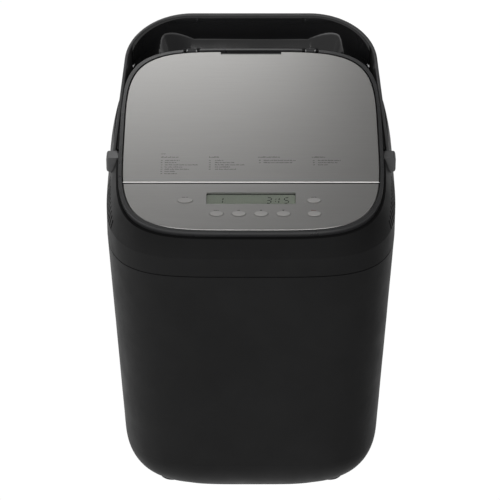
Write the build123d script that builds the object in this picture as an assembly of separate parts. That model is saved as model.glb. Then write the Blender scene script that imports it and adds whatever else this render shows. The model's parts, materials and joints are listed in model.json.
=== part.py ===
from build123d import *
import os
from math import asin, cos, degrees, pi, radians, sin, sqrt, tan

# Bread machine. Millimetres, +Z up, front at -Y, origin at the centre of the footprint on the table.

# ---- driving dimensions ------------------------------------------------------------------
body_width = 261.6          # across the side walls, below the handle pivots
body_depth = 305.0          # front wall to rear wall
corner_power = 4.4          # superellipse power of every plan outline
seam_z = 256.0              # horizontal parting line between the lower and upper housing
seam_gap = 0.8              # shadow groove along that line
base_z = 8.0                # underside of the housing above the table
wall = 3.0                  # moulded wall
side_draft = 13.6           # how much narrower the lower housing is on each side at the bottom
bottom_round = 40.0         # rounding of the lower housing into its underside

deck_tilt = 12.0            # slope of the lid and control panel, rising to the rear
deck_y = -17.4              # centre of the sloping top
deck_z = 324.0
top_width = 231.0           # lid and control panel
top_length = 254.0
panel_length = 63.0         # control panel, measured down the slope
panel_gap = 1.6             # dark gap between the panel and the lid
edge_gap = 0.6              # gap round the lid and the panel
rim_width = 3.2             # trim ring round them
rim_height = 5.0
rim_proud = 0.6
waist_z = 285.0             # widest line of the upper housing, at its middle
waist_tilt = 4.0
shoulder = 4.9              # how far the side wall has come in halfway from the waist to the rim

lid_thick = 15.0
lid_skin = 1.6
lid_cover_drop = 5.0        # inner cover below the lid frame
pin_r = 1.2                 # lid hinge pins
knuckle_r = 2.3
panel_thick = 2.4
ledge_thick = 5.0           # ledge of the housing that the panel rests on

oven_y = 15.0               # centre of the baking chamber, pan and drive
oven_width = 200.0
oven_depth = 172.0
oven_corner = 36.0
oven_floor = 95.0
sheet = 1.2
sensor_z = 165.0
pan_width = 170.0
pan_depth = 130.0
pan_corner = 30.0
pan_floor = 118.0
pan_height = 145.0
pan_wall = 1.6
pan_rim = 4.0

shaft_r = 4.0
run_clear = 0.05            # radial clearance of a running fit
motor_y = -107.0
motor_r = 27.0
motor_len = 62.0
armature_r = 18.0
plate_z = 92.0              # top of the chassis plate
belt_z = 44.0
belt_wide = 8.0
big_pulley_r = 46.0
small_pulley_r = 9.0

legs = ((50.0, -104.0), (68.0, 56.0))   # chassis legs, on each side

foot_x = 74.0
foot_y = 84.0
foot_r = 12.5

hoop_thick = 2.8            # carry handle band
hoop_half_front = 126.0     # outer half width at the pivots
hoop_half_rear = 114.7      # where the arms' outer lines would meet the crossbar's
hoop_rear = 149.5           # outer face of the crossbar
hoop_corner = 63.0
pivot_y = -33.0
pivot_z = 308.0
hoop_top_front = 313.0      # top edge of the band above the pivot
hoop_top_rear = 371.0       # top edge at the crossbar
hoop_low_front = 302.5
hoop_low_rear = 325.0
grip_thick = 2.4
grip_half = 111.5           # half length of the lining on the crossbar's inner face
boss_x = 130.9              # outside of the pivot caps
boss_y = 14.0
boss_z = 14.0
boss_pocket_x = 119.4       # inner wall of the pocket that a cap turns in
boss_swing = 10.0           # farthest corner of a cap from the pivot
slide_clear = 0.6

gland_x = -60.0             # where the supply lead leaves the rear wall
gland_z = 52.0
gland_r = 9.0

button_travel = 0.9
button_long = 12.0
button_wide = 6.0
button_proud = 0.7
lcd_long = 79.0
lcd_tall = 15.4
lcd_y = -84.2               # down-slope places from the deck centre: display and two key rows
row_upper = -87.4
row_lower = -105.2

os.makedirs("parts", exist_ok=True)

# ---- derived places ----------------------------------------------------------------------
half_w = body_width / 2
half_d = body_depth / 2
top_a = top_width / 2
top_b = top_length / 2
split = -top_b + panel_length           # panel's rear edge in the deck frame
rim_out_a = top_a + edge_gap + rim_width
rim_out_b = top_b + edge_gap + rim_width
rim_seat = rim_proud - rim_height       # underside of the trim ring in the deck frame
hinge_y = top_b + 2.9                   # lid hinge axis in the deck frame
hinge_z = -1.5
deck = Plane(
    origin=(0, deck_y, deck_z),
    x_dir=(1, 0, 0),
    z_dir=(0, -sin(radians(deck_tilt)), cos(radians(deck_tilt))),
)
deck_floor = -lid_thick - 2.0           # top of the deck under the lid
deck_under = deck_floor - wall
oven_in_w = oven_width - 2 * sheet
oven_in_d = oven_depth - 2 * sheet


def save(name, shape):
    """Write one sub-part to its own file."""
    shape.label = name
    export_step(shape, "parts/" + name + ".step")


def outline(a, b, power=corner_power, steps=48):
    """Closed superellipse face with half sizes a and b in the XY plane."""
    points = []
    for i in range(steps):
        c, s = cos(2 * pi * i / steps), sin(2 * pi * i / steps)
        r = (abs(c) ** power + abs(s) ** power) ** (-1 / power)
        points.append((a * r * c, b * r * s))
    return make_face(Spline(*points, periodic=True))


def slab(face, z0, z1):
    """Straight extrusion of a face drawn at z = 0, between two heights."""
    return Pos(0, 0, z0) * extrude(face, amount=z1 - z0)


def block(x0, x1, y0, y1, z0, z1):
    """Box between two corners."""
    return Pos((x0 + x1) / 2, (y0 + y1) / 2, (z0 + z1) / 2) * Box(x1 - x0, y1 - y0, z1 - z0)


def post(x, y, z0, z1, r):
    """Round bar along Z."""
    return Pos(x, y, (z0 + z1) / 2) * Cylinder(r, z1 - z0)


def tube(x, y, z0, z1, r_out, r_in):
    """Round sleeve along Z."""
    return post(x, y, z0, z1, r_out) - post(x, y, z0 - 1, z1 + 1, r_in)


def crosspin(x0, x1, y, z, r):
    """Round bar along X."""
    return Pos((x0 + x1) / 2, y, z) * Rot(0, 90, 0) * Cylinder(r, abs(x1 - x0))


def rounded(w, d, r):
    """Rounded rectangle face centred on the origin."""
    return Sketch() + RectangleRounded(w, d, r)


def can(w, d, r, z0, z1, thick, y):
    """Open-topped rounded box with a floor."""
    outer = slab(rounded(w, d, r), z0, z1)
    inner = slab(rounded(w - 2 * thick, d - 2 * thick, r - thick), z0 + thick, z1 + 1)
    return Pos(0, y, 0) * (outer - inner)


def inset_at(z):
    """How far the lower wall stands inside the waist at one height."""
    inset = side_draft * (seam_z - z) / (seam_z - base_z)
    curve = base_z + bottom_round - z
    if curve > 0:
        inset += bottom_round - sqrt(max(bottom_round ** 2 - curve ** 2, 0))
    return inset


# ---- housings ----------------------------------------------------------------------------
def lower_form(inset):
    """Outer form of the lower housing, drawn in by an inset."""
    heights = [base_z + bottom_round * k for k in (0.08, 0.16, 0.28, 0.44, 0.66, 1.0)]
    sections = []
    for z in heights + [seam_z]:
        k = inset_at(z) + inset
        sections.append(Pos(0, 0, z) * outline(half_w - k, half_d - k))
    return loft(sections[:6]) + loft(sections[5:])


def lower_housing():
    shell = lower_form(0) - lower_form(wall)
    under = outline(half_w - inset_at(base_z + 4) - wall, half_d - inset_at(base_z + 4) - wall)
    shell -= slab(under, 0, base_z + bottom_round * 0.5)
    lip = slab(outline(half_w - wall + 1.0, half_d - wall + 1.0), seam_z - 12, seam_z)
    lip += slab(outline(half_w - wall - 0.4, half_d - wall - 0.4), seam_z - 12, seam_z + 5)
    lip -= slab(outline(half_w - 2 * wall, half_d - 2 * wall), seam_z - 13, seam_z + 6)
    shell += lip
    shell -= gland_hole()
    return shell


def gland_hole():
    """Hole through the rear wall for the cord gland."""
    return Pos(gland_x, half_d - 12, gland_z) * Rot(90, 0, 0) * Cylinder(gland_r, 50)


def upper_form():
    """Outer form of the upper housing: upright at the seam, flaring in to the sloping rim."""
    seam = Pos(0, 0, seam_z + seam_gap) * outline(half_w, half_d)
    waist_plane = Plane((0, 0, waist_z), x_dir=(1, 0, 0),
                        z_dir=(0, -sin(radians(waist_tilt)), cos(radians(waist_tilt))))
    waist = waist_plane * outline(half_w, half_d)
    mid_tilt = (waist_tilt + deck_tilt) / 2
    mid_plane = Plane((0, deck_y * 0.42, (waist_z + deck_z) / 2 + 1.5), x_dir=(1, 0, 0),
                      z_dir=(0, -sin(radians(mid_tilt)), cos(radians(mid_tilt))))
    mid = mid_plane * outline(half_w - shoulder, (half_d + rim_out_b) / 2 + 2.0)
    rim = deck * outline(rim_out_a, rim_out_b)
    return loft([seam, waist]) + loft([waist, mid, rim])


def well(z0, z1):
    """The space round the lid and the panel, in the deck frame."""
    return deck * slab(outline(top_a + edge_gap, top_b + edge_gap), z0, z1)


def upper_housing():
    shell = upper_form() + slab(outline(half_w - seam_gap, half_d - seam_gap), seam_z, seam_z + 4)
    shell -= well(deck_floor, 30)
    shell -= slab(outline(half_w - wall, half_d - wall), seam_z - 1, seam_z + 28)
    inner = deck * slab(outline(top_a - 1.0, top_b - 1.0), -90, deck_under)
    shell -= inner & block(-200, 200, -200, 200, seam_z, 400)
    shell -= deck * slab(outline(rim_out_a + 5, rim_out_b + 5), rim_seat, 30)
    panel_pocket = deck * (slab(outline(top_a - 5, top_b - 5), deck_under - 60, 30)
                           & block(-200, 200, -200, split - 3, -200, 30))
    shell -= panel_pocket
    mouth = slab(rounded(oven_in_w, oven_in_d, oven_corner - sheet), 200, 400)
    shell -= Pos(0, oven_y, 0) * mouth
    wall_rear = deck * (slab(outline(top_a + edge_gap, top_b + edge_gap), deck_under, -3.2)
                        & block(-200, 200, split - 3, split - 0.6, -60, 30))
    shell += wall_rear
    rim_in_a, rim_in_b = top_a + edge_gap, top_b + edge_gap
    ledge = deck * ((slab(outline(rim_in_a + 1.5, rim_in_b + 1.5), -panel_thick - ledge_thick, rim_seat)
                     + slab(outline(rim_in_a, rim_in_b), rim_seat - 1, -panel_thick)
                     - slab(outline(top_a - 5, top_b - 5), -10, 10))
                    & block(-200, 200, -200, split - 3, -200, 30))
    shell += ledge
    shell -= handle_channel()
    for side in (-1, 1):
        shell -= deck * hinge_notch(side, 0.5)
        shell += deck * hinge_lugs(side)
        shell -= crosspin(side * 112, side * 124, pivot_y, pivot_z, 3.0)
        shell -= crosspin(side * boss_pocket_x, side * 140, pivot_y, pivot_z, boss_swing + slide_clear)
    shell -= vent_slots()
    return shell


def hinge_notch(side, extra):
    """Clear space for one lid knuckle, in the deck frame."""
    x0, x1 = sorted((side * (52 - extra), side * (60 + extra)))
    return block(x0, x1, top_b - 3, hinge_y + 3.0, -7, 12)


def hinge_lugs(side):
    """Two ears beside one lid knuckle, in the deck frame."""
    ears = Part()
    for near in (48.4, 60.7):
        x0, x1 = sorted((side * near, side * (near + 2.9)))
        ear = block(x0, x1, hinge_y - 2.2, hinge_y + 1.9, -12, rim_proud - 0.1)
        ears += ear + crosspin(x0, x1, hinge_y, hinge_z, knuckle_r)
    ears -= crosspin(side * 45, side * 66, hinge_y, hinge_z, pin_r)
    return ears


def vent_slots():
    """Slots through both side walls, in front of and below the handle pivots."""
    slots = Part()
    for side in (-1, 1):
        for i in range(12):
            y = -104 + 5.6 * i
            tall = 7.0 + 9.0 * sin(pi * (i + 1.0) / 14)
            slot = Box(30, 2.4, tall)
            slots += Pos(side * 122, y, 282.0 + 0.16 * (y + 104)) * slot
    return slots


def rim_trim(rear):
    """Trim ring round the top: the long piece, or the short one between the lid's knuckles."""
    ring = slab(outline(rim_out_a, rim_out_b), rim_seat, rim_proud)
    ring -= slab(outline(top_a + edge_gap, top_b + edge_gap), -20, 20)
    if rear:
        between = block(-48.2, 48.2, top_b - 20, top_b + 30, -20, 20)
        relief = slab(outline(top_a + edge_gap + 0.9, top_b + edge_gap + 0.9), rim_proud - 1.0, 20)
        return deck * ((ring - relief) & between)
    ring -= block(-63.8, 63.8, top_b - 20, top_b + 30, -20, 20)
    return deck * ring - handle_channel()


# ---- carry handle ------------------------------------------------------------------------
def hoop_outline(inset):
    """Plan of the handle: tapering arms running back to a rounded crossbar."""
    front, back = pivot_y - 12.0, hoop_rear - inset
    wide = hoop_half_front + 0.8 - inset
    narrow = hoop_half_rear - inset
    face = make_face(Polyline((-wide, front), (-narrow, back), (narrow, back), (wide, front), close=True))
    return fillet(face.vertices().sort_by(Axis.Y)[-2:], hoop_corner - inset)


def side_wedge(grow):
    """Side view of the handle band, widening towards the crossbar."""
    y0 = pivot_y - 7.0 - grow
    rise_top = (hoop_top_rear - hoop_top_front) / (hoop_rear - pivot_y)
    rise_low = (hoop_low_rear - hoop_low_front) / (hoop_rear - pivot_y)
    y1 = hoop_rear + 4
    points = [
        (y0, hoop_low_front + rise_low * (y0 - pivot_y) - grow),
        (y1, hoop_low_front + rise_low * (y1 - pivot_y) - grow),
        (y1, hoop_top_front + rise_top * (y1 - pivot_y) + grow),
        (y0, hoop_top_front + rise_top * (y0 - pivot_y) + grow),
    ]
    face = make_face(Polyline(*points, close=True))
    if grow == 0:
        face = fillet(face.vertices().sort_by(Axis.X)[:2], 4.5)
    plane = Plane((0, 0, 0), x_dir=(0, 1, 0), z_dir=(1, 0, 0))
    return extrude(plane * face, amount=200, both=True)


def handle_hoop():
    band = slab(hoop_outline(0), 200, 420) - slab(hoop_outline(hoop_thick), 199, 421)
    band = band & side_wedge(0)
    top = band.faces().filter_by(lambda f: f.normal_at().Z > 0.8)
    band = fillet(top.edges().filter_by(lambda e: e.length > 100), 0.9)
    for side in (-1, 1):
        band -= crosspin(side * 112, side * 129, pivot_y, pivot_z, 3.0 + run_clear)
    return band


def handle_channel():
    """What is cut from the housing so that the handle lies against it."""
    rise_low = (hoop_low_rear - hoop_low_front) / (hoop_rear - pivot_y)
    y0 = pivot_y - boss_y / 2 - 1.2
    y1 = hoop_rear + 40
    points = [
        (y0, hoop_low_front + rise_low * (y0 - pivot_y) - slide_clear - 1.0),
        (y1, hoop_low_front + rise_low * (y1 - pivot_y) - slide_clear - 1.0),
        (y1, 460),
        (y0, 460),
    ]
    plane = Plane((0, 0, 0), x_dir=(0, 1, 0), z_dir=(1, 0, 0))
    above = extrude(plane * make_face(Polyline(*points, close=True)), amount=200, both=True)
    outside = slab(outline(200, 260), 200, 460)
    outside -= slab(hoop_outline(hoop_thick + slide_clear), 199, 461)
    behind_lining = block(-grip_half - 1, grip_half + 1, 95, 250, 200, 460)
    behind_lining -= slab(hoop_outline(hoop_thick + grip_thick + slide_clear), 199, 461)
    return above & (outside + behind_lining)


def handle_grip_cover():
    """Gloss lining along the crossbar's inner face."""
    lining = slab(hoop_outline(hoop_thick), 200, 420)
    lining -= slab(hoop_outline(hoop_thick + grip_thick), 199, 421)
    keep = block(-grip_half, grip_half, 60, 200, 0, 420)
    return lining & side_wedge(-1.2) & keep


def handle_cap(side):
    """Rounded cap over one pivot, with its stub in the band."""
    x0, x1 = sorted((side * (boss_pocket_x + slide_clear), side * boss_x))
    cap = block(x0, x1, pivot_y - boss_y / 2, pivot_y + boss_y / 2,
                pivot_z - boss_z / 2, pivot_z + boss_z / 2)
    outer = cap.faces().sort_by(Axis.X)[-1 if side > 0 else 0]
    cap = fillet(outer.edges(), 2.2)
    cap -= crosspin(side * 112, side * 129, pivot_y, pivot_z, 3.0 + run_clear)
    band = slab(hoop_outline(0), 200, 420) - slab(hoop_outline(hoop_thick), 199, 421)
    return cap - (band & side_wedge(0))


def handle_pins():
    pins = Part()
    for side in (-1, 1):
        pins += crosspin(side * 116.8, side * (hoop_half_front - 0.4), pivot_y, pivot_z, 3.0)
    return pins


# ---- lid ---------------------------------------------------------------------------------
def lid_plan(inset, z0, z1, front=0.0):
    """Lid-shaped slab in the deck frame."""
    whole = slab(outline(top_a - inset, top_b - inset), z0, z1)
    return whole & block(-200, 200, split + panel_gap + inset + front, 200, z0 - 1, z1 + 1)


def lid_panel():
    skin = lid_plan(0, -lid_skin, 0)
    edge = skin.faces().sort_by(Axis.Z)[-1].edges()
    skin = chamfer(edge, 0.7)
    skin -= vent_mouth(-10, 5)
    return deck * skin


def vent_mouth(z0, z1):
    """Slot through the rear edge of the lid for steam, in the deck frame."""
    return block(-28.5, 28.5, top_b - 4.2, top_b + 5, z0, z1)


def lid_frame():
    tray = lid_plan(0, -lid_thick, -lid_skin)
    tray -= lid_plan(3.0, -lid_thick + 2.0, 1)
    window = slab(rounded(oven_in_w - 40, oven_in_d - 40, 20), -lid_thick - 1, 1)
    tray -= Pos(0, oven_y - deck_y, 0) * window
    tray -= vent_mouth(-lid_thick - 1, 5)
    for side in (-1, 1):
        x0, x1 = sorted((side * 52, side * 60))
        arm = block(x0, x1, top_b - 5, hinge_y, hinge_z - 2.2, -lid_skin)
        knuckle = crosspin(x0, x1, hinge_y, hinge_z, knuckle_r)
        tray += arm + knuckle
        tray -= crosspin(side * 50, side * 62, hinge_y, hinge_z, pin_r + run_clear)
    for x in (-1, 1):
        for y in (-38, 92):
            tray += post(x * 103, y, -lid_thick + 1, -lid_skin, 4.0)
            tray -= post(x * 103, y, -lid_thick - 1, 1, 1.3)
    return deck * tray


def steam_vent():
    """Slotted steam outlet in the lid's rear edge."""
    body = block(-28, 28, top_b - 3.9, top_b - 1.2, -lid_thick + 0.5, -0.6)
    for i in range(8):
        body -= block(-25.5 + 6.6 * i, -20.7 + 6.6 * i, top_b - 10, top_b + 5, -lid_thick + 3, -3.0)
    return deck * body


def lid_insulation():
    pad = lid_plan(7.0, -lid_thick + 2.2, -lid_skin - 0.3)
    for x in (-1, 1):
        for y in (-38, 92):
            pad -= post(x * 103, y, -50, 5, 5.0)
    pad -= block(-32, 32, top_b - 12, top_b + 5, -50, 5)
    return deck * pad


def lid_inner_cover():
    """Pressed metal cover over the baking chamber."""
    y = oven_y - deck_y
    z0 = -lid_thick - lid_cover_drop
    bowl = slab(rounded(oven_in_w - 34, oven_in_d - 34, 22), z0, -lid_thick)
    bowl += slab(rounded(oven_in_w - 22, oven_in_d - 22, 26), -lid_thick - 1.0, -lid_thick)
    bowl -= slab(rounded(oven_in_w - 37, oven_in_d - 37, 20.5), z0 + 1.2, 5)
    cover = Pos(0, y, 0) * bowl
    for i in range(5):
        cover -= block(-22 + 9 * i, -16 + 9 * i, y + 48, y + 51, -40, 5)
    return deck * cover


def lid_seal():
    y = oven_y - deck_y
    ring = slab(rounded(oven_in_w - 4, oven_in_d - 4, 32), -lid_thick - 1.7, -lid_thick)
    ring -= slab(rounded(oven_in_w - 20, oven_in_d - 20, 26), -40, 5)
    return deck * (Pos(0, y, 0) * ring)


def lid_screws():
    screws = Part()
    for x in (-1, 1):
        for y in (-38, 92):
            screws += post(x * 103, y, -lid_thick - 0.0, -lid_skin - 1.5, 1.25)
            screws += post(x * 103, y, -lid_thick - 1.6, -lid_thick, 3.0)
    return deck * screws


def hinge_pins():
    pins = Part()
    for side in (-1, 1):
        pins += crosspin(side * 48.4, side * 63.6, hinge_y, hinge_z, pin_r)
    return deck * pins


# ---- control panel -----------------------------------------------------------------------
button_places = {
    "menu_button": (-58.3, row_upper, button_long + 1.5),
    "option_button": (-30.4, row_lower, button_long),
    "size_button": (-10.8, row_lower, button_long),
    "timer_up_button": (8.8, row_lower, button_long),
    "timer_down_button": (28.4, row_lower, button_long),
    "start_button": (55.6, row_lower, button_long),
    "stop_button": (55.6, row_upper, button_long),
}


def panel_plan(inset, z0, z1):
    """Control-panel slab in the deck frame."""
    whole = slab(outline(top_a - inset, top_b - inset), z0, z1)
    return whole & block(-200, 200, -200, split - inset, z0 - 1, z1 + 1)


def oval(long, wide):
    """Lens-shaped button face."""
    return Sketch() + Ellipse(long / 2, wide / 2)


def lcd_place():
    return Pos(0, lcd_y, 0)


def control_panel():
    plate = panel_plan(0, -panel_thick, 0)
    edge = plate.faces().sort_by(Axis.Z)[-1].edges()
    plate = chamfer(edge, 0.7)
    for x, y, long in button_places.values():
        plate -= Pos(x, y, 0) * slab(oval(long + 0.8, button_wide + 0.8), -10, 10)
    plate -= lcd_place() * slab(rounded(lcd_long, lcd_tall, 1.2), -10, 10)
    return deck * plate


def button(place):
    """Key cap with a flange under the panel and a stem down to its switch."""
    x, y, long = place
    cap = slab(oval(long, button_wide), -panel_thick - 1.2, button_proud)
    top = cap.faces().sort_by(Axis.Z)[-1].edges()
    cap = fillet(top, 0.45)
    cap += slab(oval(long + 3.4, button_wide + 3.0), -panel_thick - 1.8, -panel_thick - 0.3)
    cap += post(0, 0, -panel_thick - 4.6, -panel_thick - 1.0, 1.6)
    return deck * (Pos(x, y, 0) * cap)


board_top = -panel_thick - 10.0


def panel_backing():
    """Moulded carrier under the panel, with windows for the keys and the display."""
    tray = panel_plan(6.5, board_top + 0.4, -panel_thick)
    tray -= panel_plan(8.5, board_top - 1, -panel_thick - 1.6)
    for x, y, long in button_places.values():
        tray -= Pos(x, y, 0) * slab(oval(long + 5.4, button_wide + 5.0), -30, 10)
    tray -= lcd_place() * slab(rounded(lcd_long + 4, lcd_tall + 4, 1.5), -30, 10)
    for x0 in (-96, 74):
        tray -= block(x0, x0 + 22, row_lower - 12, row_lower, -30, 10)
    return deck * tray


def lcd_window():
    pane = slab(rounded(lcd_long - 0.2, lcd_tall - 0.2, 1.1), -2.2, -1.2)
    return deck * (lcd_place() * pane)


def lcd_module():
    glass = slab(rounded(lcd_long - 2, lcd_tall - 1.5, 0.8), -4.6, -2.6)
    tray = slab(rounded(lcd_long + 2, lcd_tall + 2, 1.2), board_top, -4.6)
    return deck * (lcd_place() * (glass + tray))


def control_board():
    board = slab(rounded(150, 34, 3), board_top - 1.6, board_top)
    board = Pos(0, (row_upper + row_lower) / 2 + 1, 0) * board
    for x in (-1, 1):
        board -= post(x * 70, row_lower - 6, -50, 5, 1.4)
    return deck * board


def switches():
    """One small switch under each key."""
    group = Part()
    for x, y, long in button_places.values():
        height = -panel_thick - 4.6 - button_travel - 0.2
        group += Pos(x, y, 0) * (block(-3, 3, -3, 3, board_top, height - 1.0)
                                 + post(0, 0, height - 1.0, height, 1.5))
    return deck * group


def board_screws():
    group = Part()
    for x in (-1, 1):
        group += post(x * 70, row_lower - 6, board_top - 5.5, board_top, 1.25)
        group += post(x * 70, row_lower - 6, board_top, board_top + 1.2, 2.4)
    return deck * group


def board_bracket():
    """Cross rail that carries the control board from the housing's ledge."""
    y = row_lower - 6
    under = -panel_thick - ledge_thick
    rail = block(-78, 78, y - 4, y + 5, board_top - 6.0, board_top - 1.6)
    rail -= block(-64, 64, y - 3, y + 3, board_top - 7, board_top - 3)
    for x in (-1, 1):
        rail -= post(x * 70, y, -60, 5, 1.25)
        rail += block(x * 78 - 2, x * 78 + 2, y - 4, y + 5, board_top - 6.0, under)
        x0, x1 = sorted((x * 78, x * 91))
        rail += block(x0, x1, y - 4, y + 5, under - 2.0, under)
    return deck * rail


# ---- baking chamber ----------------------------------------------------------------------
def chamber():
    box = can(oven_width, oven_depth, oven_corner, oven_floor, 400, sheet, oven_y)
    box = box & (deck * slab(outline(400, 400), -400, deck_under))
    box -= post(0, oven_y, 0, oven_floor + 5, 13.0)
    box -= Pos(72, oven_y - oven_depth / 2, oven_floor + 13) * Rot(90, 0, 0) * Cylinder(4.5, 12)
    box -= Pos(-72, oven_y - oven_depth / 2, oven_floor + 13) * Rot(90, 0, 0) * Cylinder(4.5, 12)
    box -= Pos(0, oven_y - oven_depth / 2, sensor_z) * Rot(90, 0, 0) * Cylinder(2.5, 12)
    for x in (-1, 1):
        for y in (-1, 1):
            box -= post(x * 62, oven_y + y * 62, 0, oven_floor + 5, 2.2)
    return box


def heater_path(half_x, half_y, r):
    """Loop round the pan, open at the front, with two legs going out through the wall."""
    gap = 72
    out = oven_depth / 2 + 9
    points = [(-gap, -out), (-gap, -half_y), (-half_x, -half_y + 18), (-half_x, half_y),
              (half_x, half_y), (half_x, -half_y + 18), (gap, -half_y), (gap, -out)]
    return FilletPolyline(*points, radius=(r, r, oven_corner - 6, oven_corner - 6, r, r))


def heater():
    path = Pos(0, oven_y, oven_floor + 13) * heater_path(91.0, 76.0, 16.0)
    start = path @ 0
    face = Plane(origin=start, z_dir=path % 0) * Circle(3.0)
    return sweep(face, path=path)


def heater_clips():
    clips = Part()
    for x in (-1, 1):
        for y in (-30, 50):
            near, far = sorted((x * 84, x * (oven_in_w / 2)))
            clip = block(near, far, y - 4, y + 4, oven_floor + 8.4, oven_floor + 10.0)
            clips += clip
    return clips


def temperature_sensor():
    y = oven_y - oven_depth / 2 + sheet
    tip = Pos(0, y + 5, sensor_z) * Rot(90, 0, 0) * Cylinder(2.5, 20)
    collar = Pos(0, y - sheet - 1.5, sensor_z) * Rot(90, 0, 0) * Cylinder(6.0, 3)
    return tip + collar


def pan_socket():
    """Ring on the chamber floor that the pan's base drops into."""
    ring = tube(0, oven_y, oven_floor + sheet, pan_floor - 3.0, 40.0, 36.4)
    ring += tube(0, oven_y, oven_floor + sheet, oven_floor + sheet + 2.0, 46.0, 36.4)
    for angle in (45, 135, 225, 315):
        notch = Rot(0, 0, angle) * block(34, 42, -5, 5, oven_floor + 9, oven_floor + 20)
        ring -= Pos(0, oven_y, 0) * notch
    return ring


# ---- pan and blade -----------------------------------------------------------------------
def pan_shell():
    top = pan_floor + pan_height
    pan = can(pan_width, pan_depth, pan_corner, pan_floor, top, pan_wall, oven_y)
    lip = slab(rounded(pan_width + 2 * pan_rim, pan_depth + 2 * pan_rim, pan_corner + pan_rim),
               top - 2.4, top)
    lip -= slab(rounded(pan_width - 1, pan_depth - 1, pan_corner - 0.5), top - 5, top + 5)
    pan += Pos(0, oven_y, 0) * lip
    pan -= post(0, oven_y, pan_floor - 5, pan_floor + 10, 9.0)
    for side in (-1, 1):
        x0, x1 = sorted((side * (pan_width / 2 - 0.5), side * 91.0))
        pan += block(x0, x1, oven_y - 7, oven_y + 7, top - 16, top - 1)
        pan -= crosspin(side * 80, side * 96, oven_y, top - 7, 1.5 + run_clear)
    return pan


def pan_base():
    ring = tube(0, oven_y, oven_floor + 5, pan_floor, 35.8, 32.4)
    ring += tube(0, oven_y, pan_floor - 3, pan_floor, 50.0, 32.4)
    return ring


def pan_bearing():
    bush = tube(0, oven_y, pan_floor - 4, pan_floor + 6, 9.0, shaft_r + run_clear)
    bush += tube(0, oven_y, pan_floor - 4, pan_floor, 14.0, shaft_r + run_clear)
    return bush


bail_reach = pan_depth / 2 - 3.0


def pan_bail():
    """Wire handle folded over the back of the pan's rim."""
    top = pan_floor + pan_height
    x = 93.6
    y1 = oven_y + bail_reach
    z0, z1 = top - 7.0, top + 3.6
    path = FilletPolyline((-x, oven_y, z0), (-x, y1, z1), (x, y1, z1), (x, oven_y, z0), radius=9)
    face = Plane(origin=path @ 0, z_dir=path % 0) * Circle(1.9)
    bail = sweep(face, path=path)
    for side in (-1, 1):
        bail += crosspin(side * 86.0, side * 95.4, oven_y, z0, 1.5)
        bail += crosspin(side * 91.6, side * 95.6, oven_y, z0, 3.4)
    return bail


def dogs(z0, z1, turn, r_out):
    """Two driving lugs on a coupler."""
    lugs = Part()
    for half in (0, 180):
        lug = block(5.2, r_out, -4, 4, z0, z1)
        lugs += Rot(0, 0, turn + half) * lug
    return Pos(0, oven_y, 0) * lugs


coupler_z = 106.0


def blade_shaft():
    shaft = post(0, oven_y, coupler_z + 6.0, pan_floor + 24, shaft_r)
    wheel = post(0, oven_y, coupler_z + 5.5, coupler_z + 7.6, 12.0)
    flat = Pos(0, oven_y, 0) * block(-5, 5, 2.6, 6, pan_floor + 6.9, pan_floor + 25)
    return shaft + wheel + dogs(coupler_z + 0.6, coupler_z + 5.5, 90, 11.5) - flat


def kneading_blade():
    z0 = pan_floor + 7.0
    hub = post(0, oven_y, z0, z0 + 22, 7.5)
    top = hub.edges().filter_by(GeomType.CIRCLE).sort_by(Axis.Z)[-1]
    hub = fillet(top, 1.5)
    paddle = Plane.XZ * make_face(Polyline((4, z0), (46, z0), (52, z0 + 16), (40, z0 + 27),
                                           (18, z0 + 20), (4, z0 + 20), close=True))
    fin = Pos(0, oven_y, 0) * extrude(paddle, amount=1.6, both=True)
    blade = hub + fin
    bore = post(0, oven_y, z0 - 1, z0 + 17.6, shaft_r + 0.1)
    bore -= Pos(0, oven_y, 0) * block(-5, 5, 2.75, 6, z0 - 2, z0 + 19)
    return blade - bore


# ---- drive -------------------------------------------------------------------------------
def drive_coupler():
    wheel = tube(0, oven_y, coupler_z - 6, coupler_z, 13.0, shaft_r)
    return wheel + dogs(coupler_z, coupler_z + 4.9, 0, 12.5)


def drive_bearing():
    bush = tube(0, oven_y, plate_z - 26, oven_floor + 3, 12.0, shaft_r + run_clear)
    bush += tube(0, oven_y, plate_z - 5.6, plate_z - 2.6, 24.0, 11.0)
    return bush


def drive_shaft():
    return post(0, oven_y, belt_z - 10, coupler_z, shaft_r)


def pulley(y, r, bore):
    """Grooved belt pulley with two flanges."""
    z0 = belt_z - belt_wide / 2 - 2
    z1 = belt_z + belt_wide / 2 + 2
    wheel = tube(0, y, z0, z1, r, bore)
    for z in (z0, z1 - 1.6):
        wheel += tube(0, y, z, z + 1.6, r + 2.5, bore)
    return wheel


def drive_pulley():
    wheel = pulley(oven_y, big_pulley_r, shaft_r)
    for angle in range(0, 360, 60):
        hole = Rot(0, 0, angle) * post(26, 0, 20, 70, 9)
        wheel -= Pos(0, oven_y, 0) * hole
    return wheel


def drive_belt():
    """Belt held a little clear of both pulleys."""
    y0, y1 = motor_y, oven_y
    play = 0.35
    outer = belt_loop(small_pulley_r + 2.0, big_pulley_r + 2.0, y0, y1)
    inner = belt_loop(small_pulley_r + play, big_pulley_r + play, y0, y1)
    half = (belt_wide - 1.2) / 2
    return slab(outer, belt_z - half, belt_z + half) - slab(inner, belt_z - 9, belt_z + 9)


def belt_loop(r0, r1, y0, y1):
    """Two circles joined by their outer tangents."""
    lean = asin((r1 - r0) / (y1 - y0))
    c, s = cos(lean), sin(lean)
    strip = Polyline((r0 * c, y0 - r0 * s), (r1 * c, y1 - r1 * s),
                     (-r1 * c, y1 - r1 * s), (-r0 * c, y0 - r0 * s), close=True)
    return make_face(strip) + Pos(0, y0) * Circle(r0) + Pos(0, y1) * Circle(r1)


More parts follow.
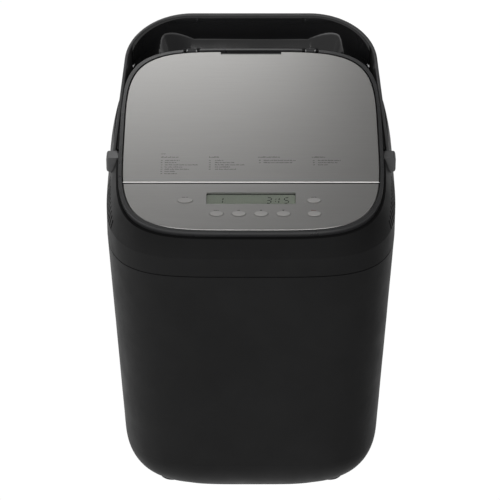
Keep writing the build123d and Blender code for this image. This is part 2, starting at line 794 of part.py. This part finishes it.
def motor_body():
    """Motor can: open inside for the armature, with a bearing bore at each end."""
    z0 = plate_z + 4.0
    body = post(0, motor_y, z0, z0 + motor_len, motor_r)
    ends = body.edges().filter_by(GeomType.CIRCLE)
    body = fillet(ends, 2.5)
    for angle in range(0, 360, 30):
        slot = Rot(0, 0, angle) * block(motor_r - 1.6, motor_r + 2, -1.5, 1.5, z0 + 8, z0 + 54)
        body -= Pos(0, motor_y, 0) * slot
    body -= post(0, motor_y, z0 + 5, z0 + motor_len - 8, armature_r + 1.5)
    body -= post(0, motor_y, z0 - 1, z0 + motor_len - 3, 3.0 + run_clear)
    return body


def motor_mounts():
    group = Part()
    for x in (-1, 1):
        for y in (-1, 1):
            group += tube(x * 15, motor_y + y * 15, plate_z, plate_z + 4.0, 5.0, 2.0)
    return group


def motor_armature():
    """Motor shaft with its wound core and commutator."""
    z0 = plate_z + 4.0
    core = post(0, motor_y, z0 + 10, z0 + 42, armature_r)
    commutator = post(0, motor_y, z0 + 42, z0 + 49, 8.0)
    for angle in range(0, 360, 30):
        slot = Rot(0, 0, angle) * block(armature_r - 5, armature_r + 1, -1.2, 1.2, z0 + 9, z0 + 43)
        core -= Pos(0, motor_y, 0) * slot
    return core + commutator + post(0, motor_y, belt_z - 8, z0 + motor_len - 4, 3.0)


def chassis():
    """Pressed steel frame that carries the chamber, the drive and the motor."""
    plate = block(-84, 84, -134, 92, plate_z - 2.6, plate_z)
    plate -= post(0, oven_y, 0, 200, 12.0)
    plate -= post(0, motor_y, 0, 200, 9.0)
    for x in (-1, 1):
        plate -= post(x * 62, -60, 0, 200, 13)
        plate -= post(x * 62, 0, 0, 200, 10)
        for leg_x, y in legs:
            near, far = x * leg_x - 8, x * leg_x + 8
            plate += block(near, far, y - 8, y - 5.4, 14.4, plate_z - 1)
            plate += block(near, far, y - 8, y + 6, 14.4, 17)
            plate -= post(x * leg_x, y, 0, 30, 1.6)
    for x in (-1, 1):
        for y in (-1, 1):
            plate += tube(x * 62, oven_y + y * 62, plate_z, oven_floor, 6.0, 2.1)
            plate -= post(x * 62, oven_y + y * 62, plate_z - 10, oven_floor + 1, 2.1)
            plate -= post(x * 15, motor_y + y * 15, 0, 200, 2.0)
    return plate


def chamber_screws():
    group = Part()
    for x in (-1, 1):
        for y in (-1, 1):
            group += post(x * 62, oven_y + y * 62, plate_z - 6, oven_floor + sheet, 2.05)
            group += post(x * 62, oven_y + y * 62, oven_floor + sheet, oven_floor + 3.4, 4.0)
    return group


def capacitor():
    can_body = Pos(-62, -118, 0) * slab(rounded(40, 20, 4), plate_z, plate_z + 34)
    return can_body


def power_board():
    board = block(52, 53.6, -136, -82, plate_z + 3, plate_z + 60)
    relay = block(34, 52, -128, -110, plate_z + 12, plate_z + 30)
    coil = block(38, 52, -104, -90, plate_z + 34, plate_z + 50)
    stand = block(49, 60, -132, -124, plate_z, plate_z + 3) + block(49, 60, -96, -88, plate_z, plate_z + 3)
    return board + relay + coil + stand


def thermal_fuse():
    y = oven_y - oven_depth / 2 - 3.2
    return Pos(38, y, 214) * Rot(0, 90, 0) * Cylinder(3.0, 16) + block(30, 46, y + 1, y + 3.2, 211, 217)


# ---- base --------------------------------------------------------------------------------
def base_plate():
    k = inset_at(base_z + 4) + wall
    plate = slab(outline(half_w - k - 0.5, half_d - k - 0.5), base_z, base_z + 3.2)
    for x in (-1, 1):
        for leg_x, leg_y in legs:
            plate += post(x * leg_x, leg_y, base_z + 3, 14.4, 5.0)
            plate -= post(x * leg_x, leg_y, 0, 30, 1.6)
        for y in (-1, 1):
            plate -= post(x * foot_x, y * foot_y, 0, base_z + 1.6, 7.0)
    for i in range(9):
        plate -= Pos(0, -56 + 14 * i, base_z) * Box(60, 4, 20)
    return plate


def base_screws():
    group = Part()
    for x in (-1, 1):
        for leg_x, y in legs:
            group += post(x * leg_x, y, base_z - 2.2, base_z, 3.4)
            group += post(x * leg_x, y, base_z, 22, 1.55)
    return group


def feet():
    """Four rubber feet, each with a plug into the base plate."""
    group = Part()
    for x in (-foot_x, foot_x):
        for y in (-foot_y, foot_y):
            pad = post(x, y, 0, base_z, foot_r)
            low = pad.edges().filter_by(GeomType.CIRCLE).sort_by(Axis.Z)[0]
            group += fillet(low, 3.0) + post(x, y, base_z, base_z + 1.6, 7.0)
    return group


def cord_gland():
    """Bush in the rear wall where the supply lead leaves."""
    y = half_d - inset_at(gland_z)
    sleeve = Pos(gland_x, y - 6, gland_z) * Rot(90, 0, 0) * Cylinder(gland_r, 15)
    flange = Pos(gland_x, y - 9.5, gland_z) * Rot(90, 0, 0) * Cylinder(gland_r + 3, 2.4)
    return sleeve + flange - Pos(gland_x, y, gland_z) * Rot(90, 0, 0) * Cylinder(3.6, 60)


# ---- write every sub-part ----------------------------------------------------------------
parts = {
    "lower_housing": lower_housing,
    "upper_housing": upper_housing,
    "rim_trim": lambda: rim_trim(False),
    "rear_rim_trim": lambda: rim_trim(True),
    "handle_hoop": handle_hoop,
    "handle_grip_cover": handle_grip_cover,
    "handle_caps": lambda: handle_cap(-1) + handle_cap(1),
    "handle_pivot_pins": handle_pins,
    "lid_panel": lid_panel,
    "lid_frame": lid_frame,
    "steam_vent": steam_vent,
    "lid_insulation": lid_insulation,
    "lid_inner_cover": lid_inner_cover,
    "lid_seal": lid_seal,
    "lid_screws": lid_screws,
    "lid_hinge_pins": hinge_pins,
    "control_panel": control_panel,
    "panel_backing": panel_backing,
    "lcd_window": lcd_window,
    "lcd_module": lcd_module,
    "control_board": control_board,
    "tact_switches": switches,
    "board_screws": board_screws,
    "board_bracket": board_bracket,
    "baking_chamber": chamber,
    "heater_element": heater,
    "heater_clips": heater_clips,
    "temperature_sensor": temperature_sensor,
    "pan_socket": pan_socket,
    "pan_shell": pan_shell,
    "pan_base": pan_base,
    "pan_bearing": pan_bearing,
    "pan_bail": pan_bail,
    "blade_shaft": blade_shaft,
    "kneading_blade": kneading_blade,
    "drive_coupler": drive_coupler,
    "drive_bearing": drive_bearing,
    "drive_shaft": drive_shaft,
    "drive_pulley": drive_pulley,
    "drive_belt": drive_belt,
    "motor_pulley": lambda: pulley(motor_y, small_pulley_r, 3.0),
    "motor_body": motor_body,
    "motor_mounts": motor_mounts,
    "motor_armature": motor_armature,
    "chassis": chassis,
    "chamber_screws": chamber_screws,
    "motor_capacitor": capacitor,
    "power_board": power_board,
    "thermal_fuse": thermal_fuse,
    "base_plate": base_plate,
    "base_screws": base_screws,
    "feet": feet,
    "cord_gland": cord_gland,
}
for name, make in parts.items():
    save(name, make())
for name, place in button_places.items():
    save(name, button(place))
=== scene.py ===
import json
import math
import random

import bmesh
import bpy
from mathutils import Matrix, Vector


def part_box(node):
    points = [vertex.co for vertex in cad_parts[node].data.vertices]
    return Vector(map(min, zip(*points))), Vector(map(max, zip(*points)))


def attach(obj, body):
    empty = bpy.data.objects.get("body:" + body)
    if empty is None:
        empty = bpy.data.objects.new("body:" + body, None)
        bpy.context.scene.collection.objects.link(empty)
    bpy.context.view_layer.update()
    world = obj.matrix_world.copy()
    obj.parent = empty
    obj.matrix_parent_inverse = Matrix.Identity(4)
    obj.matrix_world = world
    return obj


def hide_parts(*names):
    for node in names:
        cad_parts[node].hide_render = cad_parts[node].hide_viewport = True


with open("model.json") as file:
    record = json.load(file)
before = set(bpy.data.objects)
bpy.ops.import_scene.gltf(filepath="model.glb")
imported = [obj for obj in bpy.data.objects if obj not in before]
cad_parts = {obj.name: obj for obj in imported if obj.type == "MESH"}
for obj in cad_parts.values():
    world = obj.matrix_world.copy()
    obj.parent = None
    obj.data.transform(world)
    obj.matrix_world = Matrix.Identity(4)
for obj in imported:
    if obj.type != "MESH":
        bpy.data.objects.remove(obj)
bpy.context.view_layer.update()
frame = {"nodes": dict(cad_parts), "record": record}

# ---- the frame's own places -------------------------------------------------------------
TILT = math.radians(12.0)                 # slope of the lid and the control panel
DECK = Vector((0.0, -0.0174, 0.324))      # centre of the sloping top
DECK_TURN = Matrix.Rotation(TILT, 4, "X")
TO_WORLD = Matrix.Translation(DECK) @ DECK_TURN
CELL_TOP = -2.6e-3                        # top of the display cell, below the sloping top
PRINT_LOW, PRINT_HIGH = -0.02e-3, 0.03e-3   # printed legends, from just under the surface to just over
LETTER, LETTER_GAP, WORD_GAP = 0.56e-3, 0.24e-3, 0.55e-3
LINING_BREAK = 0.346                      # height where the handle lining starts to lean in
LINING_LEAN = 0.55                        # how far it leans in for each metre down
LINING_ROWS = 24                          # rows that the lining is cut into


# ---- shader helpers ---------------------------------------------------------------------
def new_material(name):
    """Empty material with its output and shader."""
    mat = bpy.data.materials.new(name)
    mat.use_nodes = True
    tree = mat.node_tree
    shader = tree.nodes["Principled BSDF"]
    return mat, tree, shader


def object_noise(tree, scale, detail=4.0, roughness=0.55, stretch=(1, 1, 1)):
    """Noise in object space, stretched along an axis if asked."""
    place = tree.nodes.new("ShaderNodeTexCoord")
    turn = tree.nodes.new("ShaderNodeMapping")
    turn.inputs["Scale"].default_value = stretch
    noise = tree.nodes.new("ShaderNodeTexNoise")
    noise.inputs["Scale"].default_value = scale
    noise.inputs["Detail"].default_value = detail
    noise.inputs["Roughness"].default_value = roughness
    tree.links.new(place.outputs["Object"], turn.inputs["Vector"])
    tree.links.new(turn.outputs["Vector"], noise.inputs["Vector"])
    return noise


def ramp(tree, source, low, high, at=(0.35, 0.65)):
    """Map a value onto a range between two colours or greys."""
    made = tree.nodes.new("ShaderNodeValToRGB")
    made.color_ramp.elements[0].position = at[0]
    made.color_ramp.elements[1].position = at[1]
    made.color_ramp.elements[0].color = grey(low)
    made.color_ramp.elements[1].color = grey(high)
    tree.links.new(source, made.inputs["Fac"])
    return made.outputs["Color"]


def grey(value):
    """RGBA from a grey level or an RGB triple."""
    if isinstance(value, (int, float)):
        return (value, value, value, 1.0)
    return (*value, 1.0)


def add_bump(tree, shader, height, strength, distance):
    bump = tree.nodes.new("ShaderNodeBump")
    bump.inputs["Strength"].default_value = strength
    bump.inputs["Distance"].default_value = distance
    tree.links.new(height, bump.inputs["Height"])
    tree.links.new(bump.outputs["Normal"], shader.inputs["Normal"])


def plastic(name, colour, rough=(0.42, 0.52), grain=900.0, bump=0.12, specular=0.5, shade=0.12, coat=0.0):
    """Moulded plastic: fine spark texture, slight cloudiness in colour and gloss."""
    mat, tree, shader = new_material(name)
    low = tuple(c * (1 - shade) for c in colour)
    high = tuple(c * (1 + shade) for c in colour)
    cloud = object_noise(tree, 14.0, 5.0)
    tree.links.new(ramp(tree, cloud.outputs["Fac"], low, high), shader.inputs["Base Color"])
    smear = object_noise(tree, 45.0, 6.0, 0.65)
    tree.links.new(ramp(tree, smear.outputs["Fac"], rough[0], rough[1]), shader.inputs["Roughness"])
    shader.inputs["Specular IOR Level"].default_value = specular
    if coat:
        shader.inputs["Coat Weight"].default_value = coat
        shader.inputs["Coat Roughness"].default_value = 0.06
    spark = object_noise(tree, grain, 3.0, 0.6)
    add_bump(tree, shader, spark.outputs["Fac"], bump, 0.0002)
    return mat


def metal(name, colour, rough=(0.25, 0.4), grain=500.0, stretch=(1, 1, 1), bump=0.08):
    """Bare or painted metal: stretched grain in gloss and height."""
    mat, tree, shader = new_material(name)
    shader.inputs["Metallic"].default_value = 1.0
    cloud = object_noise(tree, 9.0, 4.0)
    low = tuple(c * 0.93 for c in colour)
    high = tuple(c * 1.06 for c in colour)
    tree.links.new(ramp(tree, cloud.outputs["Fac"], low, high), shader.inputs["Base Color"])
    fine = object_noise(tree, grain, 5.0, 0.6, stretch)
    tree.links.new(ramp(tree, fine.outputs["Fac"], rough[0], rough[1]), shader.inputs["Roughness"])
    add_bump(tree, shader, fine.outputs["Fac"], bump, 0.0002)
    return mat


def satin_metal():
    """Satin silver film: very fine brushing across the lid, even in colour."""
    mat, tree, shader = new_material("satin_silver")
    shader.inputs["Metallic"].default_value = 0.9
    brush = object_noise(tree, 1500.0, 4.0, 0.6, (0.015, 1.0, 1.0))
    low, high = (0.345, 0.340, 0.332), (0.362, 0.356, 0.348)
    tree.links.new(ramp(tree, brush.outputs["Fac"], low, high), shader.inputs["Base Color"])
    tree.links.new(ramp(tree, brush.outputs["Fac"], 0.34, 0.36), shader.inputs["Roughness"])
    add_bump(tree, shader, brush.outputs["Fac"], 0.007, 0.0001)
    return mat


# ---- materials --------------------------------------------------------------------------
BODY = plastic("body_black", (0.0085, 0.0085, 0.0087), (0.50, 0.58), 1100.0, 0.10, 0.12)
TRIM = plastic("trim_grey", (0.024, 0.024, 0.025), (0.26, 0.34), 1400.0, 0.05, 0.45)
HOOP = plastic("hoop_grey", (0.068, 0.068, 0.069), (0.30, 0.38), 1400.0, 0.05, 0.5)
GLOSS = plastic("gloss_black", (0.014, 0.014, 0.0145), (0.05, 0.09), 300.0, 0.01, 1.0, 0.1, 1.0)
INNER = plastic("inner_plastic", (0.025, 0.025, 0.026), (0.5, 0.62), 800.0, 0.15)
KEYS = plastic("key_pearl", (0.42, 0.41, 0.40), (0.3, 0.4), 900.0, 0.05, 0.5, 0.05)
SWITCH = plastic("switch_black", (0.02, 0.02, 0.02), (0.4, 0.5))
PULLEY = plastic("natural_nylon", (0.62, 0.58, 0.48), (0.4, 0.5), 500.0, 0.1)
SLEEVE = plastic("white_sleeve", (0.75, 0.73, 0.68), (0.5, 0.6), 700.0, 0.1)
RUBBER = plastic("foot_rubber", (0.016, 0.016, 0.016), (0.7, 0.82), 600.0, 0.3, 0.3)
SILICONE = plastic("grey_silicone", (0.25, 0.25, 0.25), (0.5, 0.6), 500.0, 0.1)
BOARD = plastic("board_green", (0.02, 0.12, 0.05), (0.3, 0.4), 300.0, 0.1)
NONSTICK = plastic("nonstick_grey", (0.035, 0.035, 0.037), (0.3, 0.5), 420.0, 0.25, 0.5, 0.3)
INSULATION = plastic("glass_fibre", (0.72, 0.7, 0.62), (0.85, 0.95), 260.0, 0.8, 0.2, 0.2)
SILVER = satin_metal()
STEEL = metal("bare_steel", (0.55, 0.55, 0.55), (0.24, 0.36), 700.0, (1, 1, 0.05), 0.05)
SHEET = metal("aluminised_sheet", (0.66, 0.66, 0.64), (0.32, 0.45), 260.0, (1, 1, 1), 0.1)
CAST = metal("cast_aluminium", (0.5, 0.5, 0.5), (0.4, 0.55), 380.0, (1, 1, 1), 0.3)
SHEATH = metal("heater_sheath", (0.12, 0.11, 0.10), (0.45, 0.6), 300.0, (1, 1, 1), 0.2)


def display_glass():
    mat, tree, shader = new_material("display_glass")
    shader.inputs["Base Color"].default_value = (0.9, 0.93, 0.9, 1)
    shader.inputs["Transmission Weight"].default_value = 1.0
    shader.inputs["IOR"].default_value = 1.3
    smear = object_noise(tree, 60.0, 4.0)
    tree.links.new(ramp(tree, smear.outputs["Fac"], 0.02, 0.06), shader.inputs["Roughness"])
    return mat


LCD_GLASS = display_glass()
LCD_CELL = plastic("display_cell", (0.46, 0.48, 0.42), (0.35, 0.42), 400.0, 0.02, 0.3, 0.05)
LCD_INK = plastic("display_ink", (0.006, 0.006, 0.006), (0.4, 0.5), 400.0, 0.02, 0.3)
PRINT = plastic("grey_print", (0.085, 0.083, 0.08), (0.45, 0.55), 400.0, 0.02, 0.3)
PRINT_RED = plastic("red_print", (0.16, 0.035, 0.03), (0.45, 0.55), 400.0, 0.02, 0.3)
LABEL = plastic("rating_label", (0.42, 0.42, 0.41), (0.4, 0.5), 300.0, 0.02, 0.4, 0.03)

BY_SLOT = {
    "body_plastic": BODY, "trim_plastic": TRIM, "gloss_black": GLOSS, "silver_grey": SILVER,
    "key_plastic": KEYS, "inner_plastic": INNER, "display_glass": LCD_GLASS, "display": LCD_CELL,
    "circuit_board": BOARD, "switch_plastic": SWITCH, "bare_steel": STEEL, "chamber_sheet": SHEET,
    "heater_sheath": SHEATH, "nonstick": NONSTICK, "cast_metal": CAST, "pulley_plastic": PULLEY,
    "belt_rubber": RUBBER, "seal_silicone": SILICONE, "insulation": INSULATION, "fuse_sleeve": SLEEVE,
}
for part in frame["record"]["subparts"]:
    thing = frame["nodes"][part["node"]]
    mat = BY_SLOT[part["material_slot"]]
    if part["node"].startswith("handle_hoop") or part["node"].startswith("handle_cap"):
        mat = HOOP
    if not thing.material_slots:
        thing.data.materials.append(mat)
    for place in thing.material_slots:
        place.material = mat


# ---- detail pieces ----------------------------------------------------------------------
def deck_point(x, y, z):
    """World place of a point given in the sloping top's own frame, in metres."""
    return TO_WORLD @ Vector((x, y, z))


def plates(name, body, mat, shapes, low, high):
    """Thin raised plates on the sloping top, each a closed prism with a bevelled face."""
    bm = bmesh.new()
    for shape in shapes:
        cx = sum(p[0] for p in shape) / len(shape)
        cy = sum(p[1] for p in shape) / len(shape)
        base = [bm.verts.new(deck_point(x, y, low)) for x, y in shape]
        inner = [(cx + (x - cx) * 0.97, cy + (y - cy) * 0.94) for x, y in shape]
        top = [bm.verts.new(deck_point(x, y, high)) for x, y in inner]
        bm.faces.new(top)
        bm.faces.new(list(reversed(base)))
        for i in range(len(shape)):
            j = (i + 1) % len(shape)
            bm.faces.new((base[i], base[j], top[j], top[i]))
    return finish_piece(name, bm, body, mat)


def finish_piece(name, bm, body, mat, smooth=False):
    """Turn a bmesh into a named piece that rides on a body."""
    bmesh.ops.recalc_face_normals(bm, faces=bm.faces)
    mesh = bpy.data.meshes.new(name)
    bm.to_mesh(mesh)
    bm.free()
    if smooth:
        for face in mesh.polygons:
            face.use_smooth = True
    piece = bpy.data.objects.new(name, mesh)
    bpy.context.collection.objects.link(piece)
    mesh.materials.append(mat)
    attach(piece, body)
    return piece


def bar(x, y, long, tall):
    return [(x, y), (x + long, y), (x + long, y + tall), (x, y + tall)]


def words(rng, x, y, length, tall):
    """A line of greeked text: short bars of uneven length standing for words."""
    made = []
    pitch = LETTER + LETTER_GAP
    end = x + length
    while x < end - pitch:
        word = min(rng.uniform(1.6e-3, 5.2e-3), end - x)
        letters = max(1, round(word / pitch))
        for k in range(letters):
            grow = rng.choice((0.62, 0.62, 0.66, 0.95, 1.0)) * tall
            made.append(bar(x + k * pitch, y, LETTER, grow))
        x += letters * pitch + WORD_GAP
    return made


def lid_print():
    """Menu list printed along the front of the lid, in four columns."""
    rng = random.Random(4)
    shapes = []
    columns = (
        (-80.9, 17.1, -80.9, -77.3, (13.5, 10.5, 31.0, 17.0, 22.0, 9.4, 12.0)),
        (-37.7, 8.9, -37.7, -32.3, (7.5, 17.0, 26.9, 14.0, 19.0)),
        (6.3, 19.7, 7.2, 11.4, (29.9, 26.0)),
        (54.8, 11.7, 55.7, 60.3, (20.6, 17.0, 8.5)),
    )
    for head_x, head_long, number_x, text_x, lines in columns:
        shapes += words(rng, head_x * 1e-3, -28.4e-3, head_long * 1e-3, 1.6e-3)
        for k, length in enumerate(lines):
            y = (-32.9 - 3.05 * k) * 1e-3
            shapes += words(rng, number_x * 1e-3, y, 1.7e-3, 1.35e-3)
            shapes += words(rng, text_x * 1e-3, y, length * 1e-3, 1.35e-3)
    shapes += words(rng, -80.9e-3, -23.6e-3, 4.0e-3, 1.2e-3)
    plates("lid_menu_print", "lid", PRINT, shapes, PRINT_LOW, PRINT_HIGH)


SEGMENTS = {
    "a": ((0.1, 1.0), (0.9, 1.0)), "b": ((1.0, 0.93), (1.0, 0.56)), "c": ((1.0, 0.44), (1.0, 0.07)),
    "d": ((0.1, 0.0), (0.9, 0.0)), "e": ((0.0, 0.44), (0.0, 0.07)), "f": ((0.0, 0.93), (0.0, 0.56)),
    "g": ((0.1, 0.5), (0.9, 0.5)),
}
DIGITS = {"1": "bc", "3": "abcdg", "5": "acdfg"}


def segment(x, y, wide, tall, ends, thick, slant):
    """One pointed display segment as a hexagon."""
    (ax, ay), (bx, by) = ends
    ax, bx = ax * wide, bx * wide
    ay, by = ay * tall, by * tall
    long = math.hypot(bx - ax, by - ay)
    ux, uy = (bx - ax) / long, (by - ay) / long
    tip = thick * 0.5
    flat = [(0, 0), (tip, tip), (long - tip, tip), (long, 0), (long - tip, -tip), (tip, -tip)]
    made = []
    for along, across in flat:
        px = ax + ux * along - uy * across
        py = ay + uy * along + ux * across
        made.append((x + px + slant * py, y + py))
    return made


def display_digits():
    """Generic menu number and clock on the display cell."""
    wide, tall, thick, slant = 3.9e-3, 7.4e-3, 0.95e-3, 0.12
    base = -88.4e-3
    shapes = []
    for digit, x in (("1", -29.4e-3), ("3", 13.4e-3), ("1", 20.4e-3), ("5", 29.0e-3)):
        for key in DIGITS[digit]:
            shapes.append(segment(x, base, wide, tall, SEGMENTS[key], thick, slant))
    for y in (base + 2.1e-3, base + 5.0e-3):
        shapes.append(bar(21.0e-3 + slant * (y - base), y, 0.85e-3, 0.85e-3))
    plates("display_digits", "housing", LCD_INK, shapes, CELL_TOP - 0.03e-3, CELL_TOP + 0.04e-3)


def key_labels():
    """Small printed legend above each key."""
    rng = random.Random(9)
    shapes = []
    for x, y, long in ((-58.3, -87.4, 5.4), (-30.4, -105.2, 4.6), (-10.8, -105.2, 2.6), (55.6, -87.4, 4.2)):
        shapes += words(rng, (x - long / 2) * 1e-3, (y + 4.1) * 1e-3, long * 1e-3, 1.25e-3)
    for x, turn in ((8.8, 1), (28.4, -1)):
        middle = -105.2 + 4.8
        shapes.append([((x + dx * turn) * 1e-3, (middle + dy * turn) * 1e-3)
                       for dx, dy in ((-1.1, -0.7), (1.1, -0.7), (0.0, 1.0))])
    plates("key_legends", "housing", PRINT, shapes, PRINT_LOW, PRINT_HIGH)
    start = words(rng, 53.2e-3, -101.1e-3, 4.8e-3, 1.25e-3)
    plates("start_legend", "housing", PRINT_RED, start, PRINT_LOW, PRINT_HIGH)


def smooth_step(value):
    value = min(1.0, max(0.0, value))
    return value * value * (3 - 2 * value)


def crowned_lining():
    """Gloss lining of the handle's crossbar, its lower part leaning in to face the front."""
    source = frame["nodes"]["handle_grip_cover"]
    low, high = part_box("handle_grip_cover")
    bm = bmesh.new()
    bm.from_mesh(source.data)
    bmesh.ops.remove_doubles(bm, verts=bm.verts, dist=1e-6)
    for k in range(1, LINING_ROWS):
        z = low.z + (high.z - low.z) * k / LINING_ROWS
        geometry = list(bm.verts) + list(bm.edges) + list(bm.faces)
        bmesh.ops.bisect_plane(bm, geom=geometry, plane_co=(0, 0, z), plane_no=(0, 0, 1))
    pushes = {}
    for face in bm.faces:
        centre = face.calc_center_median()
        inward = Vector((-centre.x, 0.05 - centre.y, 0)).normalized()
        if abs(face.normal.z) > 0.3 or face.normal.dot(inward) < 0.3:
            continue
        for vert in face.verts:
            flat = Vector((face.normal.x, face.normal.y, 0))
            pushes[vert] = pushes.get(vert, Vector()) + flat
    for vert, push in pushes.items():
        side = abs(vert.co.x)
        rise = 0.009 * smooth_step((side - 0.045) / 0.035) - 0.040 * smooth_step((side - 0.082) / 0.02)
        drop = max(0.0, LINING_BREAK + rise - vert.co.z)
        ease = drop * drop / (drop + 0.0015)
        vert.co += push.normalized() * ease * LINING_LEAN
    piece = finish_piece("grip_lining", bm, "handle", GLOSS, True)
    piece.data.set_sharp_from_angle(angle=math.radians(32))
    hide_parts("handle_grip_cover")


def rating_label():
    """Greeked rating label on the underside."""
    rng = random.Random(2)
    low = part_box("base_plate")[0].z
    bm = bmesh.new()
    corners = outline_points(0.0, 0.062, 0.046, 0.024, 0.003)
    slab_mesh(bm, corners, low - 0.0002, low)
    finish_piece("rating_label", bm, "housing", LABEL)
    bm = bmesh.new()
    for k in range(7):
        for shape in words(rng, -0.041, 0.046 + (16 - 5.5 * k) * 1e-3, rng.uniform(0.03, 0.08), 2.2e-3):
            slab_mesh(bm, shape, low - 0.00027, low - 0.00019)
    finish_piece("rating_label_print", bm, "housing", PRINT)


def outline_points(cx, cy, half_x, half_y, radius):
    """Rounded rectangle as a list of points."""
    made = []
    for k, (sx, sy) in enumerate(((1, 1), (-1, 1), (-1, -1), (1, -1))):
        for i in range(7):
            a = math.pi / 2 * (k + i / 6)
            made.append((cx + sx * (half_x - radius) + radius * math.cos(a),
                         cy + sy * (half_y - radius) + radius * math.sin(a)))
    return made


def slab_mesh(bm, shape, low, high):
    """Closed prism over a flat outline."""
    base = [bm.verts.new((x, y, low)) for x, y in shape]
    top = [bm.verts.new((x, y, high)) for x, y in shape]
    bm.faces.new(top)
    bm.faces.new(list(reversed(base)))
    for i in range(len(shape)):
        j = (i + 1) % len(shape)
        bm.faces.new((base[i], base[j], top[j], top[i]))



# ---- light and camera -------------------------------------------------------------------
def area_light(name, where, aim, size, watts, tint=(1, 1, 1)):
    data = bpy.data.lights.new(name, "AREA")
    data.shape = "RECTANGLE"
    data.size, data.size_y = size
    data.energy = watts
    data.color = tint
    lamp = bpy.data.objects.new(name, data)
    bpy.context.collection.objects.link(lamp)
    lamp.location = where
    lamp.rotation_euler = (Vector(aim) - Vector(where)).to_track_quat("-Z", "Y").to_euler()
    return lamp


def studio():
    """White below and round the horizon, dimmer overhead and to the right."""
    world = bpy.data.worlds.new("studio")
    bpy.context.scene.world = world
    world.use_nodes = True
    tree = world.node_tree
    place = tree.nodes.new("ShaderNodeTexCoord")
    split = tree.nodes.new("ShaderNodeSeparateXYZ")
    tree.links.new(place.outputs["Generated"], split.inputs["Vector"])
    back = tree.nodes["Background"]
    shade = ramp(tree, split.outputs["Z"], 1.0, 0.2, (0.0, 0.3))
    dim = ramp(tree, split.outputs["X"], 1.0, 0.45, (0.2, 0.7))
    mix = tree.nodes.new("ShaderNodeMix")
    mix.data_type = "RGBA"
    mix.blend_type = "MULTIPLY"
    mix.inputs["Factor"].default_value = 1.0
    tree.links.new(shade, mix.inputs[6])
    tree.links.new(dim, mix.inputs[7])
    tree.links.new(mix.outputs[2], back.inputs["Color"])
    back.inputs["Strength"].default_value = 1.02


def lights():
    area_light("lid_glow", (-0.13, 0.714, 0.905), (0, -0.017, 0.324), (0.45, 0.3), 1.15)
    area_light("side_left", (-1.6, -0.1, 0.6), (0, 0, 0.2), (1.0, 1.0), 4.0)
    area_light("front_high", (0.0, -1.6, 1.75), (0, 0.12, 0.34), (1.8, 0.5), 15.0)


def camera():
    """Camera looking down at thirty degrees from in front."""
    data = bpy.data.cameras.new("camera")
    data.lens = 192.3
    data.sensor_width = 36.0
    data.shift_x = -0.002
    data.clip_end = 50
    eye = bpy.data.objects.new("camera", data)
    bpy.context.collection.objects.link(eye)
    rise, reach = math.radians(30.0), 2.504
    target = Vector((0, 0, 0.196))
    eye.location = target + Vector((0, -reach * math.cos(rise), reach * math.sin(rise)))
    eye.rotation_euler = (target - eye.location).to_track_quat("-Z", "Y").to_euler()
    bpy.context.scene.camera = eye


lid_print()
display_digits()
key_labels()
rating_label()
crowned_lining()
studio()
lights()
camera()
bpy.context.scene.view_settings.view_transform = "Standard"
